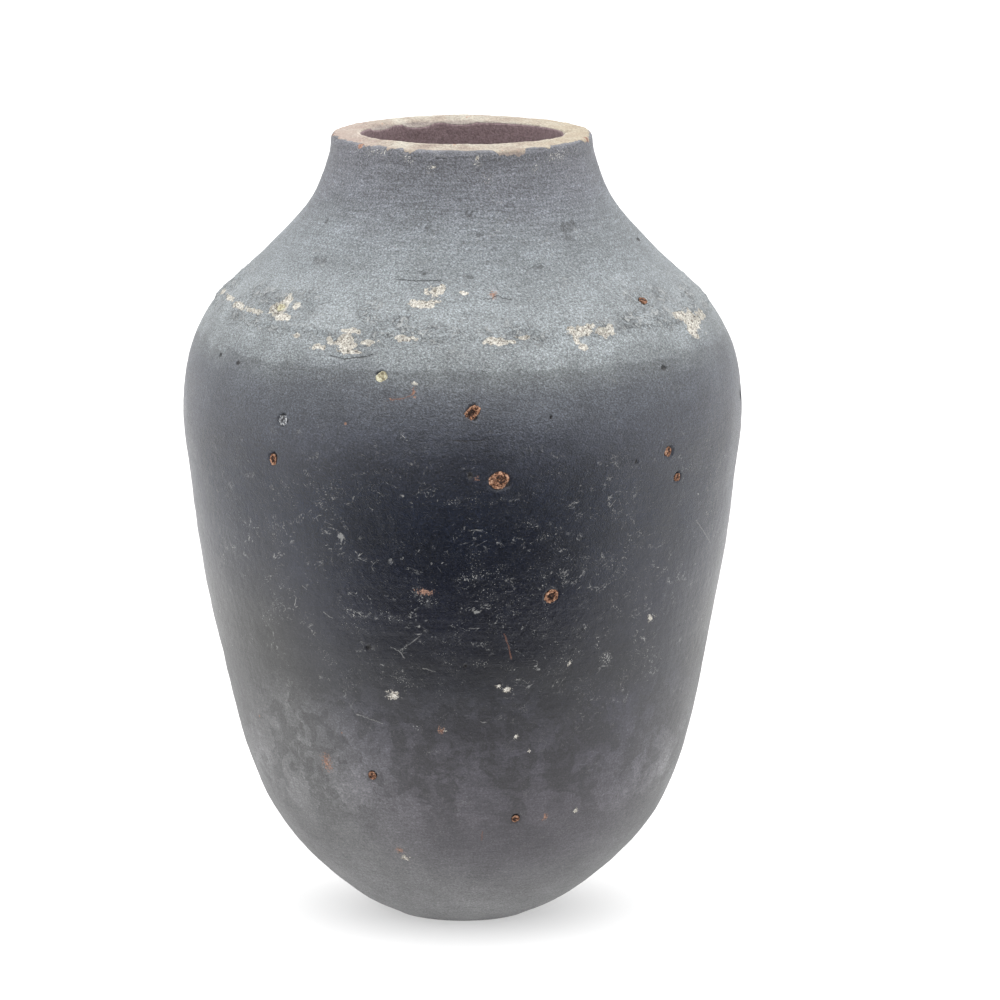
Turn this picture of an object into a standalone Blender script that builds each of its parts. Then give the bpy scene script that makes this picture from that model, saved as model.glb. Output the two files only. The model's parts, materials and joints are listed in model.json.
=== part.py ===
"""Wheel-turned black clay storage jar, as the clay sections its potter luted together.

Units are metres, +Z is up, and the origin is the centre of the flat foot.
The front of the jar faces -Y. An azimuth is an angle round the jar's axis in degrees,
0 at the front and growing towards +X.

The wall is six turned sections, from the base slab to the rim band. They meet at sloping
scarf joints, which is how clay is scored, slipped and pressed together. The clay is coarse:
burnt iron grit, lime nodules and a quartz grain sit in pockets in the wall.
"""

import math

import bmesh
import bpy
from mathutils import Matrix, Vector

# ---------------------------------------------------------------- driving dimensions
HEIGHT = 0.338
FOOT_RADIUS = 0.030
BELLY_RADIUS = 0.120
LIP_RADIUS = 0.0555
MOUTH_RADIUS = 0.0432
FLOOR_THICKNESS = 0.0115

# Outer outline as (radius, height), from the edge of the foot up to the lip.
OUTLINE = (
    (FOOT_RADIUS, 0.000),
    (0.0455, 0.008),
    (0.0690, 0.028),
    (0.0830, 0.046),
    (0.0940, 0.071),
    (0.1038, 0.112),
    (0.1113, 0.150),
    (0.1168, 0.190),
    (BELLY_RADIUS, 0.222),
    (0.1167, 0.245),
    (0.1060, 0.266),
    (0.0830, 0.288),
    (0.0640, 0.310),
    (0.0567, 0.329),
    (LIP_RADIUS, HEIGHT),
)

# Thickness of the clay, measured square to the outside, as (height, thickness).
WALL = (
    (0.000, FLOOR_THICKNESS),
    (0.060, 0.0090),
    (0.150, 0.0075),
    (0.250, 0.0078),
    (0.300, 0.0098),
    (HEIGHT, LIP_RADIUS - MOUTH_RADIUS),
)

# Heights on the outside where one section is luted to the next.
BASE_JOINT = 0.025
BELLY_JOINT = 0.116
SHOULDER_JOINT = 0.223
COLLAR_JOINT = 0.266
RIM_JOINT = 0.322
SCARF_RISE = 0.004          # how much higher a joint ends on the inside
JOINT_GAP = 0.0004          # height left free between two sections

LIP_OUTER_ROUND = 0.0025    # radii of the lip's two edges
LIP_INNER_ROUND = 0.0015
ROUND_STEPS = 3

TURN_STEPS = 64             # facets round the jar
CURVE_STEPS = 16            # samples between two outline points
MERGE = 0.00005

GRIT_CLEARANCE = 0.00035    # free space between a grain and its pocket
GRIT_PROUD = 0.0004         # how far a grain stands out of the wall
GRIT_SUBDIVISIONS = 2

# Each grain: material, azimuth, height, half width, half height, half depth.
GRAINS = {
    "burnt_grit_belly_front": ("burnt_grit", 7.5, 0.210, 0.0048, 0.0036, 0.0024),
    "burnt_grit_shoulder_front": ("burnt_grit", 2.0, 0.2385, 0.0026, 0.0030, 0.0020),
    "burnt_grit_belly_left": ("burnt_grit", -41.5, 0.214, 0.0018, 0.0024, 0.0016),
    "burnt_grit_belly_right": ("burnt_grit", 46.0, 0.2150, 0.0020, 0.0020, 0.0016),
    "burnt_grit_belly_right_low": ("burnt_grit", 49.5, 0.2030, 0.0019, 0.0018, 0.0015),
    "burnt_grit_middle_right": ("burnt_grit", 19.0, 0.1585, 0.0025, 0.0024, 0.0018),
    "burnt_grit_collar_right": ("burnt_grit", 52.0, 0.2755, 0.0021, 0.0018, 0.0015),
    "burnt_grit_lower_left": ("burnt_grit", -24.0, 0.0780, 0.0020, 0.0018, 0.0015),
    "burnt_grit_lower_right": ("burnt_grit", 13.5, 0.0590, 0.0017, 0.0017, 0.0014),
    "lime_nodule_shoulder": ("lime", -17.0, 0.2520, 0.0024, 0.0022, 0.0017),
    "lime_nodule_collar_left": ("lime", -49.5, 0.2735, 0.0024, 0.0021, 0.0016),
    "quartz_grain_shoulder_left": ("quartz", -39.0, 0.2305, 0.0023, 0.0024, 0.0017),
}

# Each section: its lower and upper joint, and how many steps its outside and inside take.
SECTIONS = {
    "base_slab": (0.0, BASE_JOINT, 5, 3),
    "lower_wall": (BASE_JOINT, BELLY_JOINT, 7, 4),
    "belly_wall": (BELLY_JOINT, SHOULDER_JOINT, 5, 3),
    "shoulder_wall": (SHOULDER_JOINT, COLLAR_JOINT, 6, 4),
    "neck_collar": (COLLAR_JOINT, RIM_JOINT, 7, 4),
    "rim_band": (RIM_JOINT, HEIGHT, 2, 2),
}

# Colour and roughness of each material; none is metallic.
FINISHES = {
    "base_slab": ((0.105, 0.100, 0.112), 0.72),
    "lower_wall": ((0.070, 0.072, 0.085), 0.62),
    "belly_wall": ((0.030, 0.036, 0.048), 0.50),
    "shoulder_wall": ((0.060, 0.072, 0.086), 0.55),
    "neck_collar": ((0.110, 0.125, 0.138), 0.62),
    "rim_band": ((0.420, 0.350, 0.270), 0.85),
    "burnt_grit": ((0.330, 0.120, 0.050), 0.90),
    "lime": ((0.560, 0.510, 0.370), 0.90),
    "quartz": ((0.300, 0.310, 0.320), 0.45),
}


# ---------------------------------------------------------------- the jar's outline
def blend(low, high, low_at, high_at, at):
    """The point at `at` on the line through `low` and `high`."""
    share = (at - low_at) / (high_at - low_at)
    return low + (high - low) * share


def smooth_curve(points, steps):
    """Centripetal Catmull-Rom curve through the points, with `steps` samples a span."""
    points = [Vector(point) for point in points]
    ends = [points[0] * 2 - points[1], *points, points[-1] * 2 - points[-2]]
    curve = []
    for first in range(len(points) - 1):
        corners = ends[first:first + 4]
        knots = [0.0]
        for start, end in zip(corners, corners[1:]):
            knots.append(knots[-1] + math.sqrt((end - start).length))
        for step in range(steps):
            at = knots[1] + (knots[2] - knots[1]) * step / steps
            lines = [blend(corners[i], corners[i + 1], knots[i], knots[i + 1], at) for i in range(3)]
            arcs = [blend(lines[i], lines[i + 1], knots[i], knots[i + 2], at) for i in range(2)]
            curve.append(blend(arcs[0], arcs[1], knots[1], knots[2], at))
    curve.append(points[-1])
    return curve


OUTER_CURVE = smooth_curve(OUTLINE, CURVE_STEPS)


def outer_point(height):
    """The outline's point at a height, and its outward normal, both as (radius, height)."""
    height = min(max(height, 0.0), HEIGHT)
    for low, high in zip(OUTER_CURVE, OUTER_CURVE[1:]):
        if height <= high.y:
            break
    run = (high - low).normalized()
    return blend(low, high, low.y, high.y, height), Vector((run.y, -run.x))


def wall_thickness(height):
    """Thickness of the clay behind the outside point at a height."""
    for (low_at, low), (high_at, high) in zip(WALL, WALL[1:]):
        if height <= high_at:
            break
    return blend(low, high, low_at, high_at, height)


def inner_point(height):
    """The inside point behind the outside point at a height."""
    point, normal = outer_point(height)
    return point - normal * wall_thickness(height)


def between(low, high, steps):
    """Evenly spaced heights from low to high."""
    return [low + (high - low) * step / steps for step in range(steps + 1)]


def round_corner(corner, radius, start_angle, end_angle):
    """An arc of the given radius that rounds a square corner of the lip."""
    middle = (start_angle + end_angle) / 2
    centre = corner - Vector((math.cos(middle), math.sin(middle))) * radius * math.sqrt(2)
    angles = between(start_angle, end_angle, ROUND_STEPS)
    return [centre + Vector((math.cos(angle), math.sin(angle))) * radius for angle in angles]


# ---------------------------------------------------------------- section profiles
def ring_profile(bottom, top, outer_steps, inner_steps):
    """Closed outline of a ring, down its outside and back up its inside."""
    low = bottom + JOINT_GAP / 2
    high = top - JOINT_GAP / 2
    outside = [outer_point(height)[0] for height in between(low, high, outer_steps)]
    inside = [inner_point(height + SCARF_RISE) for height in between(low, high, inner_steps)]
    return outside[::-1] + inside


def slab_profile(top, outer_steps, inner_steps):
    """Outline of the dished base, from the middle of its floor round to the foot's centre."""
    high = top - JOINT_GAP / 2
    outside = [outer_point(height)[0] for height in between(0.0, high, outer_steps)]
    inside = [inner_point(height) for height in between(0.0, high + SCARF_RISE, inner_steps)]
    return [Vector((0.0, FLOOR_THICKNESS)), *inside, *outside[::-1], Vector((0.0, 0.0))]


def rim_profile(bottom, outer_steps, inner_steps):
    """Closed outline of the rim band, whose lip is flat on top with rounded edges."""
    low = bottom + JOINT_GAP / 2
    outside = [outer_point(height)[0] for height in between(low, HEIGHT - LIP_OUTER_ROUND, outer_steps)]
    lip_low = HEIGHT - LIP_INNER_ROUND
    inside = [inner_point(height) for height in between(low + SCARF_RISE, lip_low, inner_steps)][:-1]
    outer_corner = Vector((LIP_RADIUS, HEIGHT))
    inner_corner = Vector((MOUTH_RADIUS, HEIGHT))
    outer_round = round_corner(outer_corner, LIP_OUTER_ROUND, math.pi / 2, 0.0)
    inner_round = round_corner(inner_corner, LIP_INNER_ROUND, math.pi, math.pi / 2)
    return outer_round + outside[-2::-1] + inside + inner_round


# ---------------------------------------------------------------- objects and materials
def clear_scene():
    """Remove every object, so the file holds only the jar."""
    for item in list(bpy.data.objects):
        bpy.data.objects.remove(item, do_unlink=True)


def make_collection(name):
    """A new collection in the scene."""
    collection = bpy.data.collections.new(name)
    bpy.context.scene.collection.children.link(collection)
    return collection


def make_material(name, finish):
    """A Principled material for one part."""
    color, roughness = FINISHES[finish]
    material = bpy.data.materials.new(name + "_material")
    material.use_nodes = True
    shader = material.node_tree.nodes["Principled BSDF"]
    shader.inputs["Base Color"].default_value = (*color, 1.0)
    shader.inputs["Roughness"].default_value = roughness
    shader.inputs["Metallic"].default_value = 0.0
    return material


def make_turned(name, profile, closed, collection):
    """A solid of revolution from a profile in the XZ plane."""
    count = len(profile)
    edges = [(i, (i + 1) % count) for i in range(count if closed else count - 1)]
    mesh = bpy.data.meshes.new(name)
    mesh.from_pydata([(point.x, 0.0, point.y) for point in profile], edges, [])
    mesh.materials.append(make_material(name, name))
    turned = bpy.data.objects.new(name, mesh)
    collection.objects.link(turned)
    screw = turned.modifiers.new("turn", "SCREW")
    screw.angle = 2 * math.pi
    screw.steps = TURN_STEPS
    screw.render_steps = TURN_STEPS
    screw.use_merge_vertices = True
    screw.merge_threshold = MERGE
    screw.use_smooth_shade = True
    return turned


def grain_frame(azimuth, height, depth):
    """Place and direction of a grain: local X round the jar, Y up the wall, Z outward."""
    point, normal = outer_point(height)
    angle = math.radians(azimuth)
    front = Vector((math.sin(angle), -math.cos(angle), 0.0))
    across = Vector((math.cos(angle), math.sin(angle), 0.0))
    outward = front * normal.x + Vector((0.0, 0.0, normal.y))
    upward = outward.cross(across)
    centre = front * point.x + Vector((0.0, 0.0, point.y)) + outward * (GRIT_PROUD - depth)
    turn = Matrix((across, upward, outward)).transposed().to_4x4()
    return Matrix.Translation(centre) @ turn


def make_grain(name, place, half_sizes, collection):
    """A faceted pebble with the given half width, height and depth."""
    mesh = bpy.data.meshes.new(name)
    pebble = bmesh.new()
    bmesh.ops.create_icosphere(pebble, subdivisions=GRIT_SUBDIVISIONS, radius=1.0)
    bmesh.ops.scale(pebble, vec=half_sizes, verts=pebble.verts)
    pebble.to_mesh(mesh)
    pebble.free()
    mesh.shade_smooth()
    grain = bpy.data.objects.new(name, mesh)
    grain.matrix_world = place
    collection.objects.link(grain)
    return grain


def cut_pocket(wall, cutter):
    """Cut a grain's pocket out of the wall section that holds it."""
    cutter.hide_render = True
    cutter.display_type = "WIRE"
    cut = wall.modifiers.new(cutter.name, "BOOLEAN")
    cut.operation = "DIFFERENCE"
    cut.solver = "EXACT"
    cut.object = cutter


# ---------------------------------------------------------------- the jar
def make_sections(collection):
    """The six wall sections, from the foot to the lip."""
    sections = {}
    for name, (bottom, top, outer_steps, inner_steps) in SECTIONS.items():
        if name == "base_slab":
            profile = slab_profile(top, outer_steps, inner_steps)
        elif name == "rim_band":
            profile = rim_profile(bottom, outer_steps, inner_steps)
        else:
            profile = ring_profile(bottom, top, outer_steps, inner_steps)
        sections[name] = make_turned(name, profile, name != "base_slab", collection)
    return sections


def make_grains(sections, collection, cutters):
    """The grains, each in a pocket of the section at its height."""
    for name, (finish, azimuth, height, *half_sizes) in GRAINS.items():
        place = grain_frame(azimuth, height, half_sizes[-1])
        grain = make_grain(name, place, half_sizes, collection)
        grain.data.materials.append(make_material(name, finish))
        pocket_sizes = [size + GRIT_CLEARANCE for size in half_sizes]
        pocket = make_grain(name + "_pocket", place, pocket_sizes, cutters)
        holder = next(section for section, span in SECTIONS.items() if span[0] < height < span[1])
        cut_pocket(sections[holder], pocket)


def main():
    clear_scene()
    jar = make_collection("black_clay_jar")
    cutters = make_collection("cutters")
    sections = make_sections(jar)
    make_grains(sections, jar, cutters)


main()
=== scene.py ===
"""Looks of the black clay storage jar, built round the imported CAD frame.

Units are metres, and MM is a millimetre. +Z is up and the jar's front faces -Y. An azimuth is an
angle round the jar in degrees, 0 at the front and growing towards +X.

The jar's skin is one grid of rows up the wall and columns round it. It is pushed in and out by the
marks of making and wear, then divided into the potter's six clay sections. Each section is a
closed mesh that stands for its CAD node, and shares its edge points with its neighbours.
"""

import itertools
import json
import math

import bmesh
import bpy
import numpy as np
from mathutils import Matrix, Vector


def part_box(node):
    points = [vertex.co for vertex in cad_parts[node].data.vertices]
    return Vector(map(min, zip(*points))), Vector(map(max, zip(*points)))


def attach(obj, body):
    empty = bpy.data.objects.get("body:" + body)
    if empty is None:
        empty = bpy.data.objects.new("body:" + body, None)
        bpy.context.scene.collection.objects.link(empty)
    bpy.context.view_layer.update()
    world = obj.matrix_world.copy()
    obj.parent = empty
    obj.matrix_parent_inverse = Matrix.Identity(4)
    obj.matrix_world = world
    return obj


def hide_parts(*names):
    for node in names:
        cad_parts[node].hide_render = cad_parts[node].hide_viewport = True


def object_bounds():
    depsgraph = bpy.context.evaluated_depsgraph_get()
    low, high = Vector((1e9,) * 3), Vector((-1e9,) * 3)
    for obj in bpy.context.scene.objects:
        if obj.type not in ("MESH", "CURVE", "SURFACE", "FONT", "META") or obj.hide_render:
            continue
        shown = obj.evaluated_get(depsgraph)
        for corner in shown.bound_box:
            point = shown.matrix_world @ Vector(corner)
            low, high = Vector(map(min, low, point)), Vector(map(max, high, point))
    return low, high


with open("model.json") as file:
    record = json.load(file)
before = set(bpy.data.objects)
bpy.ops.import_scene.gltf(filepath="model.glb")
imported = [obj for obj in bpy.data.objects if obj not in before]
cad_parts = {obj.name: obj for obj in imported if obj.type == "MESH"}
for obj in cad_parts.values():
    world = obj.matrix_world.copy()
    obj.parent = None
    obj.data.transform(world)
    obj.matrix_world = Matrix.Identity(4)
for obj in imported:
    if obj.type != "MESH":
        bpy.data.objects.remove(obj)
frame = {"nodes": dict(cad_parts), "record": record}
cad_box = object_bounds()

MM = 0.001

# ---------------------------------------------------------------- the jar's shape
HEIGHT = cad_box[1][2]
FOOT_RADIUS = 30 * MM
MOUTH_RADIUS = 43.2 * MM
LIP_RADIUS = 55.5 * MM
FLOOR_THICKNESS = 11.5 * MM

# Outer outline as (radius, height), the same as the CAD part's.
OUTLINE = (
    (FOOT_RADIUS, 0.0),
    (45.5 * MM, 8 * MM),
    (69.0 * MM, 28 * MM),
    (83.0 * MM, 46 * MM),
    (94.0 * MM, 71 * MM),
    (103.8 * MM, 112 * MM),
    (111.3 * MM, 150 * MM),
    (116.8 * MM, 190 * MM),
    (120.0 * MM, 222 * MM),
    (116.7 * MM, 245 * MM),
    (106.0 * MM, 266 * MM),
    (83.0 * MM, 288 * MM),
    (64.0 * MM, 310 * MM),
    (56.7 * MM, 329 * MM),
    (LIP_RADIUS, HEIGHT),
)

# Thickness of the wall, square to the outside, as (height, thickness).
WALL = (
    (0.0, FLOOR_THICKNESS),
    (60 * MM, 9.0 * MM),
    (150 * MM, 7.5 * MM),
    (250 * MM, 7.8 * MM),
    (300 * MM, 9.8 * MM),
    (HEIGHT, LIP_RADIUS - MOUTH_RADIUS),
)

SCARF_RISE = 4 * MM
LIP_OUTER_ROUND = 1.6 * MM
LIP_INNER_ROUND = 1.5 * MM

# Sections from the foot up: CAD node, material slot, and row spacing on the outside.
SECTIONS = (
    ("base_slab", "black_clay", 0.9 * MM),
    ("lower_wall", "black_clay", 1.0 * MM),
    ("belly_wall", "black_clay", 1.0 * MM),
    ("shoulder_wall", "black_clay", 0.6 * MM),
    ("neck_collar", "black_clay", 0.72 * MM),
    ("rim_band", "lip_clay", 0.5 * MM),
)
COLUMNS = 768
INSIDE_SPACING = 6.0 * MM
LIP_SPACING = 0.5 * MM
INSIDE_OVERLAP = 3          # rows of the lip's inner rounding that have the inside's colour

# How far the wall's middle wanders sideways at each height: (height, towards +X).
LEAN = (
    (0.0, 0.0),
    (15 * MM, 0.8 * MM),
    (45 * MM, 1.6 * MM),
    (90 * MM, 0.8 * MM),
    (150 * MM, 0.0),
    (240 * MM, 0.0),
    (275 * MM, -0.8 * MM),
    (310 * MM, -0.4 * MM),
    (HEIGHT, -0.2 * MM),
)
OVAL = 0.5 * MM             # how far out of round the belly is

# ---------------------------------------------------------------- marks in the surface
SEAM_HEIGHT = 266 * MM      # the rough line where the collar is luted on

# The tables of marks below are in degrees and millimetres.
# Patches where the skin has flaked off a pale, limy clay.
# Azimuth, height, half width, half height, depth.
LIME_PATCHES = (
    (-86, 270.8, 4.5, 1.1, 0.5),
    (-76, 271.2, 5.0, 1.0, 0.5),
    (-66, 270.4, 5.5, 1.3, 0.5),
    (-58, 270.0, 5.0, 0.9, 0.4),
    (-49, 273.4, 3.8, 4.0, 0.8),
    (-47, 270.0, 4.0, 1.6, 0.6),
    (-44, 274.6, 1.6, 1.4, 0.4),
    (-33, 261.2, 2.6, 1.0, 0.3),
    (-40, 264.4, 1.6, 0.8, 0.3),
    (-27, 264.4, 4.6, 2.6, 0.7),
    (-21, 264.6, 3.2, 1.0, 0.5),
    (-26, 268.2, 3.6, 0.9, 0.4),
    (-25, 260.6, 3.6, 0.8, 0.3),
    (-13, 266.6, 3.6, 1.0, 0.3),
    (-7.3, 284.0, 2.8, 2.0, 0.7),
    (-9.4, 279.2, 4.0, 1.5, 0.5),
    (0.8, 283.4, 1.6, 0.7, 0.3),
    (8.4, 265.6, 4.2, 1.3, 0.4),
    (14.5, 267.0, 2.4, 0.7, 0.3),
    (28.5, 268.2, 4.0, 2.0, 0.7),
    (34.5, 267.0, 4.0, 1.8, 0.7),
    (26.4, 264.6, 1.0, 1.9, 0.4),
    (27.8, 262.0, 1.6, 1.1, 0.3),
    (65.0, 263.4, 5.2, 4.2, 0.6),
    (61.0, 267.4, 4.0, 1.4, 0.4),
    (72.0, 265.0, 3.0, 2.0, 0.4),
    (118.0, 268.0, 7.0, 2.2, 0.6),
    (139.0, 265.0, 4.5, 2.6, 0.5),
    (163.0, 269.0, 8.0, 1.3, 0.5),
    (196.0, 267.0, 5.0, 3.2, 0.7),
    (221.0, 270.0, 6.0, 1.4, 0.4),
    (243.0, 264.0, 3.5, 2.0, 0.5),
)

LIME_SPREAD = 1.35          # a patch's ragged edge eats into it, so it is laid out larger

# Small flecks of lime or of burnt iron: azimuth, height, half width, half height, mask.
FLECKS = (
    (10.0, 118.0, 1.4, 1.1, "lime"),
    (8.0, 119.6, 0.9, 0.7, "lime"),
    (12.6, 96.5, 1.0, 1.0, "lime"),
    (16.0, 90.0, 0.8, 0.8, "lime"),
    (-16.4, 114.8, 2.2, 1.6, "lime"),
    (-5.4, 99.8, 1.0, 1.0, "rust"),
    (-4.9, 100.2, 1.0, 0.8, "lime"),
    (-8.0, 161.5, 2.6, 0.9, "rust"),
    (45.6, 143.5, 1.6, 1.6, "lime"),
    (-20.5, 42.0, 1.5, 1.1, "rust"),
    (-19.4, 38.6, 1.4, 1.9, "lime"),
    (22.0, 58.5, 1.0, 1.1, "rust"),
    (31.0, 60.0, 1.0, 1.0, "lime"),
    (-37.0, 81.0, 1.8, 2.6, "rust"),
    (9.0, 282.6, 1.1, 1.3, "rust"),
    (-14.4, 243.0, 1.0, 0.6, "rust"),
    (-9.9, 246.0, 0.7, 1.2, "rust"),
    (-9.8, 249.6, 0.9, 0.7, "lime"),
    (2.6, 210.8, 1.0, 0.8, "rust"),
    (6.6, 335.0, 0.6, 0.9, "lime"),
    (-12.6, 331.0, 0.8, 0.5, "lime"),
    (24.4, 127.8, 0.9, 0.9, "lime"),
    (133.0, 205.0, 1.8, 1.4, "rust"),
    (158.0, 148.0, 1.4, 1.2, "rust"),
    (181.0, 246.0, 1.9, 1.6, "lime"),
    (208.0, 126.0, 1.6, 1.2, "rust"),
    (226.0, 224.0, 1.8, 1.8, "rust"),
    (250.0, 96.0, 1.4, 1.4, "lime"),
)

# Scuffs that break up into pale dots: azimuth, height, half length, half width, slope angle.
SCUFFS = (
    (-12.0, 228.4, 4.2, 1.5, -48),
    (6.6, 200.8, 5.2, 1.2, 20),
    (-2.6, 200.6, 5.0, 1.2, 24),
    (17.1, 184.5, 7.0, 2.2, 14),
    (14.0, 190.0, 5.0, 2.0, -20),
    (-6.6, 205.5, 4.6, 1.0, 24),
    (26.0, 133.0, 3.0, 1.6, 30),
    (24.0, 129.0, 5.0, 1.8, 20),
    (33.9, 128.5, 4.0, 4.6, 60),
    (31.0, 137.0, 2.0, 6.0, 0),
    (-16.0, 150.0, 9.0, 3.6, -24),
    (-8.0, 158.0, 9.0, 3.0, -18),
    (-24.0, 150.0, 6.0, 3.0, -30),
    (1.0, 168.0, 8.0, 3.0, 12),
    (-11.6, 138.5, 5.4, 1.0, 44),
    (-14.0, 121.0, 7.0, 3.0, -16),
    (4.0, 130.0, 5.0, 2.4, -10),
    (16.8, 162.6, 4.6, 1.0, 26),
    (-11.0, 100.0, 4.0, 2.4, -40),
    (-8.0, 90.0, 5.0, 1.4, 10),
    (58.0, 176.0, 6.0, 1.6, -50),
    (135.0, 170.0, 12.0, 4.0, 16),
    (176.0, 150.0, 14.0, 4.0, -20),
    (212.0, 186.0, 12.0, 3.0, 30),
    (236.0, 140.0, 10.0, 5.0, -34),
    (100.0, 150.0, 10.0, 4.0, 24),
    (-40.0, 335.6, 9.0, 2.2, 4),
    (-24.0, 334.4, 5.0, 3.0, -20),
    (-13.5, 331.0, 3.6, 2.2, -60),
    (7.0, 333.0, 5.0, 2.4, 62),
    (11.0, 326.5, 3.4, 2.0, -40),
    (47.0, 334.0, 9.0, 3.4, 8),
    (34.0, 331.0, 5.0, 2.0, 60),
)

# Thin lines as points of (azimuth, height): cracks, scratches and veins of burnt iron.
LINES = (
    ("crack", ((5.4, 281.0), (8.1, 281.2), (9.8, 282.4), (11.2, 281.2), (14.3, 280.3))),
    ("scratch", ((-43.9, 267.5), (-40.8, 268.2), (-36.6, 268.8))),
    ("crack", ((-30.0, 258.5), (-26.0, 257.5), (-22.1, 258.8), (-19.2, 260.2))),
    ("crack", ((-3.0, 227.0), (1.0, 226.7), (5.0, 227.0))),
    ("crack", ((-12.5, 334.4), (-9.4, 335.2), (-5.6, 334.2))),
    ("scratch", ((-12.9, 335.4), (-9.4, 336.3), (-5.2, 335.3))),
    ("crack", ((-19.0, 287.6), (-12.0, 287.4), (-5.0, 287.8))),
    ("crack", ((132.0, 262.0), (137.0, 263.4), (146.0, 262.6))),
    ("crack", ((183.0, 276.0), (190.0, 277.0), (199.0, 276.2))),
    ("vein", ((-15.0, 243.0), (-13.0, 243.2), (-11.2, 244.2), (-10.1, 245.5), (-9.8, 249.0))),
    ("vein", ((8.8, 143.8), (10.0, 137.5), (10.8, 131.2))),
    ("vein", ((4.6, 54.0), (4.4, 48.0))),
    ("vein", ((150.0, 188.0), (153.0, 184.0), (158.0, 183.0))),
    ("scratch", ((-26.6, 105.2), (-23.4, 103.8), (-19.2, 101.6))),
    ("scratch", ((-37.0, 160.0), (-35.2, 158.4))),
    ("scratch", ((-32.0, 149.8), (-29.0, 146.5))),
    ("scratch", ((57.6, 182.6), (62.4, 175.3), (67.0, 168.5))),
    ("scratch", ((0.8, 145.5), (4.0, 145.8))),
    ("scratch", ((-16.4, 137.0), (-13.9, 134.5), (-12.9, 131.0))),
    ("scratch", ((-9.5, 127.8), (-5.8, 126.2))),
    ("scratch", ((3.4, 104.0), (5.8, 103.4))),
    ("scratch", ((-14.1, 135.0), (-9.2, 142.0))),
    ("scratch", ((120.0, 196.0), (128.0, 188.0), (131.0, 180.0))),
    ("scratch", ((186.0, 118.0), (197.0, 121.0), (206.0, 120.0))),
    ("scratch", ((228.0, 206.0), (238.0, 198.0))),
)

# Open pits: azimuth, height, half width, half height, depth.
PITS = (
    (-49.6, 270.9, 1.2, 1.0, 1.4),
    (-7.2, 284.3, 0.9, 0.8, 1.2),
    (27.6, 268.2, 1.1, 0.5, 1.2),
    (34.5, 267.0, 1.3, 0.6, 1.2),
    (1.5, 212.2, 1.3, 1.5, 1.2),
    (-21.2, 135.5, 1.1, 1.0, 1.2),
    (0.5, 129.0, 0.9, 0.9, 0.9),
    (83.0, 227.0, 2.2, 2.6, 1.2),
    (47.0, 250.0, 1.5, 1.2, 0.9),
    (37.0, 213.5, 0.8, 0.8, 0.8),
    (17.8, 235.4, 0.8, 0.8, 0.8),
    (-63.0, 251.0, 1.1, 0.9, 0.7),
    (-55.0, 250.0, 1.3, 1.0, 0.7),
    (78.0, 294.4, 2.2, 1.0, 0.7),
    (125.0, 231.0, 2.6, 2.0, 1.4),
    (171.0, 196.0, 1.5, 1.6, 1.2),
    (204.0, 243.0, 2.2, 1.6, 1.2),
    (232.0, 168.0, 1.4, 1.3, 1.1),
    (148.0, 122.0, 1.5, 1.2, 1.0),
    (256.0, 214.0, 1.7, 1.4, 1.1),
)

# Dark, slightly rough smoke stains: azimuth, height, half width, half height.
STAINS = (
    (3.2, 313.2, 2.8, 3.2),
    (-12.2, 307.2, 2.2, 1.8),
    (-58.0, 306.0, 4.0, 2.6),
    (6.1, 304.5, 2.4, 1.8),
    (41.0, 303.5, 8.0, 7.0),
    (-11.0, 290.5, 4.0, 2.0),
    (2.0, 289.0, 4.0, 1.6),
    (-48.0, 291.0, 6.0, 4.0),
    (24.0, 292.0, 3.0, 2.0),
    (112.0, 305.0, 5.0, 3.5),
    (155.0, 296.0, 6.0, 4.0),
    (214.0, 310.0, 5.0, 5.0),
)

# Scallops chipped out of the lip's inner edge: azimuth, half width, depth.
LIP_CHIPS = (
    (-154, 9.6, 1.7),
    (-127, 10.0, 1.3),
    (-179, 8.6, 1.0),
    (96, 4.0, 1.4),
)

# Stretches where the bare clay of the lip runs further down the outside:
# azimuth, half width, extra depth.
LIP_WORN = (
    (-47, 5, 3.0),
    (-33, 4, 2.4),
    (-24, 4, 3.6),
    (22, 8.5, 5.2),
    (40, 5, 2.6),
    (72, 5, 2.0),
    (140, 12, 2.0),
    (215, 9, 2.6),
)
LIP_BLUSHES = ((-51, 1.5), (74, 1.5), (-86, 0.9), (188, 3.0))     # azimuth, radius

# Height of the inner edge over the flat, and how much it changes from the sides to the front.
LIP_CREST = (0.3, 1.4)
# Where the bare clay starts, measured down the outside from the flat's edge (negative is on the
# flat), and how much it moves at the front.
LIP_WEAR = (-1.6, -2.6)

# How far a grain's top leans sideways for its height, how hollow its middle is, and its size
# against its CAD node's.
STONE_SHAPES = {
    "burnt_grit_belly_front": (0.0, 0.35, 0.94),
    "burnt_grit_shoulder_front": (0.80, 0.8, 1.15),
    "burnt_grit_middle_right": (0.10, 1.0, 1.25),
    "burnt_grit_belly_left": (0.25, 0.7, 1.1),
    "burnt_grit_collar_right": (-0.20, 0.5, 1.0),
}
PLAIN_STONE = (0.0, 0.35, 1.0)
FACE_FLATNESS = 0.40        # how flat a grain's worn face is, against its buried side
SETTLED_DEPTH = 0.35 * MM   # how far a grain's middle sits below the skin
BED_DEPTH = 1.0 * MM        # of the pit round a grain
BED_MARGIN = 0.2 * MM       # how much wider than its grain a pit is


# ---------------------------------------------------------------- curves and noise
def blend(low, high, low_at, high_at, at):
    """The point at `at` on the line through `low` and `high`."""
    return low + (high - low) * (at - low_at) / (high_at - low_at)


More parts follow.
